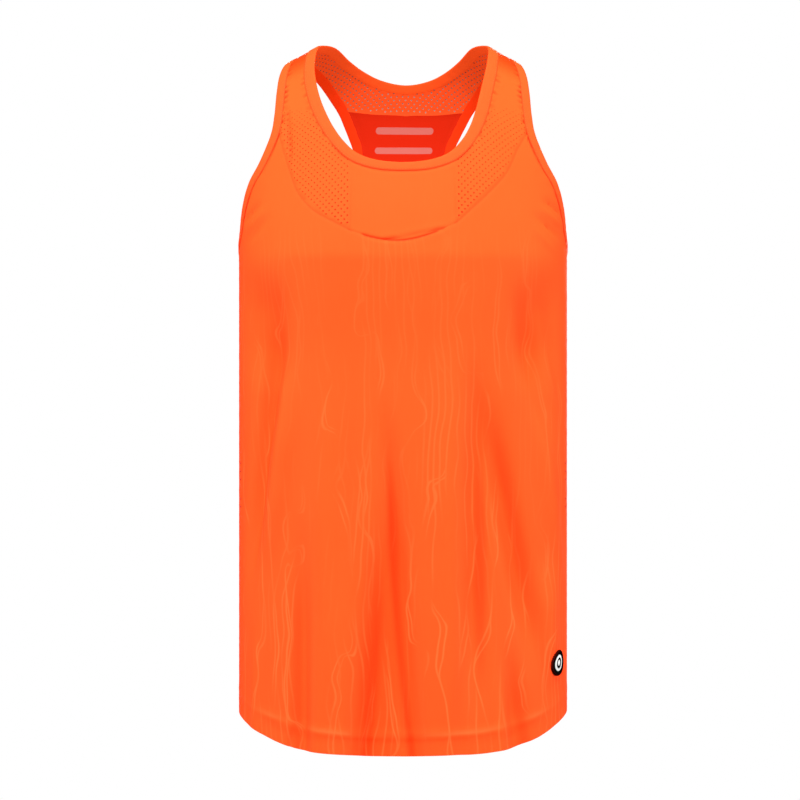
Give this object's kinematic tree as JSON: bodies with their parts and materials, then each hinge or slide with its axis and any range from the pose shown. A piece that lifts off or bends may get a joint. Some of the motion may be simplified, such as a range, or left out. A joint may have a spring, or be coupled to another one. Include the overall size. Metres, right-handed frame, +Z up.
{
  "type": "racerback tank top",
  "caption": "Orange racerback running tank top, hollow as when worn, with perforated yokes, bound neck and armholes, and a small round black badge near the hem.",
  "frame": {"origin": "midway between the tops of the two straps, on the shoulder line, where the wearer holds the top up", "axes": "+Z up the garment; front faces -Y; +X is the wearer's left"},
  "size_m": [0.3138, 0.2086, 0.6726],
  "materials": {
    "jersey": "matte fine knit with a soft sheen",
    "perforated_jersey": "matte fine knit with rows of round holes of about 1.5 mm",
    "binding": "folded knit binding, stitched along its seam edge",
    "rubber": "satin moulded rubber with a pale ring and dot"
  },
  "bodies": {
    "root": {"front_body": "jersey", "back_body": "jersey", "front_chest_panel": "jersey", "front_mesh_left": "perforated_jersey", "front_mesh_right": "perforated_jersey", "back_mesh_yoke": "perforated_jersey", "neck_binding": "binding", "armhole_binding_left": "binding", "armhole_binding_right": "binding", "badge": "rubber"}
  },
  "joints": []
}
